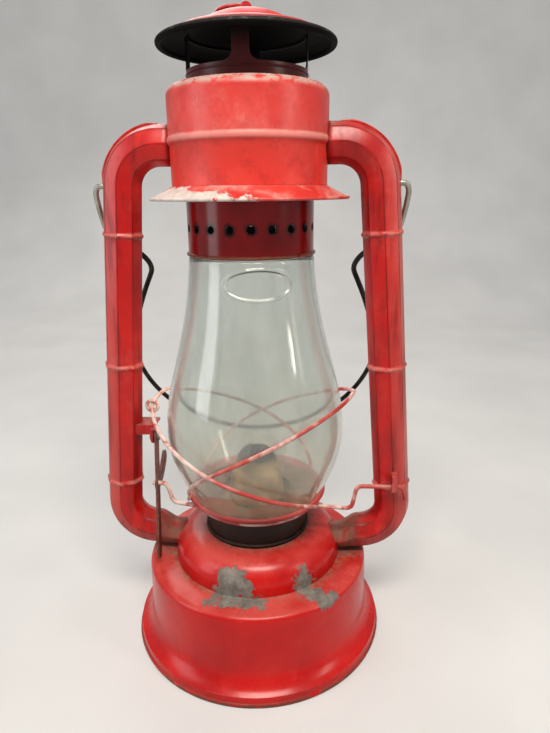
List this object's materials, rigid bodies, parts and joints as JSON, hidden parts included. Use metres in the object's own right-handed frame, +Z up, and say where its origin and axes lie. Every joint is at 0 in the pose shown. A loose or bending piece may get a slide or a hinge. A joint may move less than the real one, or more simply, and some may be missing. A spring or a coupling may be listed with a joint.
{
  "type": "hurricane lantern",
  "caption": "Tubular kerosene lantern with a round tank, side air tubes, a lifting glass globe in a wire guard, a sprung chimney with rain cap, a wick raiser and a swinging wire bail.",
  "frame": {"origin": "centre of the tank foot, on the surface it stands on", "axes": "+Z up, -Y to the front, +X to the right as seen from the front"},
  "size_m": [0.1846, 0.152, 0.3478],
  "materials": {
    "red_enamel": "aged gloss",
    "dark_enamel": "gloss",
    "sooted_enamel": "sooty",
    "brass": "tarnished",
    "steel": "weathered",
    "glass": "clear, hazy",
    "cotton_wick": "woven",
    "leather_washer": "oiled"
  },
  "bodies": {
    "frame": {"tank_shell": "red_enamel", "tank_bottom": "red_enamel", "filler_neck": "brass", "air_chamber": "red_enamel", "burner_collar": "sooted_enamel", "burner_ring": "brass", "burner_body": "brass", "burner_deck": "brass", "burner_cone": "brass", "wick_tube": "brass", "left_tube": "red_enamel", "right_tube": "red_enamel", "bell_drum": "red_enamel", "bell_skirt": "red_enamel", "chimney_spring": "steel", "wire_keeper": "red_enamel", "lever_bracket": "red_enamel", "lever_rivet": "steel"},
    "carriage": {"globe_plate": "red_enamel", "cross_wire": "red_enamel", "left_guard": "red_enamel", "right_guard": "red_enamel", "lift_rod": "red_enamel", "globe": "glass"},
    "lever": {"lift_lever": "red_enamel"},
    "chimney": {"globe_collar": "dark_enamel", "flue": "dark_enamel", "rain_cap": "sooted_enamel", "ring_staple": "red_enamel"},
    "ring": {"lift_ring": "red_enamel"},
    "bail": {"bail": "steel"},
    "wick_raiser": {"wick_shaft": "steel", "wick_wheels": "brass", "wick_knob": "brass"},
    "wick": {"wick": "cotton_wick"},
    "cap_washer": {"filler_gasket": "leather_washer"},
    "filler_cap": {"filler_cap": "brass"}
  },
  "joints": [
    {"name": "globe_lift", "type": "slide", "parent": "frame", "child": "carriage", "axis": [0, 0, 1], "range_m": [0, 0.005]},
    {"name": "lever_swing", "type": "hinge", "parent": "frame", "child": "lever", "pos_m": [-0.057, -0.009, 0.1272], "axis": [-1, 0, 0], "range_deg": [0, 45.5]},
    {"name": "chimney_lift", "type": "slide", "parent": "carriage", "child": "chimney", "axis": [0, 0, 1], "range_m": [0, 0.02], "stiffness_N_per_m": 150, "springref_m": -0.02, "deforming": ["chimney_spring"]},
    {"name": "ring_fold", "type": "hinge", "parent": "chimney", "child": "ring", "pos_m": [0, 0, 0.34485], "axis": [0, 1, 0], "range_deg": [0, 192]},
    {"name": "bail_swing", "type": "hinge", "parent": "frame", "child": "bail", "pos_m": [0, 0, 0.2653], "axis": [1, 0, 0], "range_deg": [0, 310]},
    {"name": "wick_turn", "type": "hinge", "parent": "frame", "child": "wick_raiser", "pos_m": [0.0058, 0, 0.0775], "axis": [0, 1, 0], "range_deg": [-60, 60]},
    {"name": "wick_feed", "type": "slide", "parent": "frame", "child": "wick", "axis": [0, 0, 1], "range_m": [-0.005, 0.005]},
    {"name": "cap_rise", "type": "slide", "parent": "frame", "child": "cap_washer", "axis": [0, 0, 1], "range_m": [0, 0.004]},
    {"name": "cap_turn", "type": "hinge", "parent": "cap_washer", "child": "filler_cap", "pos_m": [-0.03063, 0.04902, 0.055], "axis": [0, 0, 1], "range_deg": [0, 540]}
  ],
  "couplings": [
    {"joint": "lever_swing", "follows": "globe_lift", "rad_per_m": 157.08},
    {"joint": "wick_feed", "follows": "wick_turn", "m_per_rad": 0.0046},
    {"joint": "cap_rise", "follows": "cap_turn", "m_per_rad": 0.000398}
  ]
}
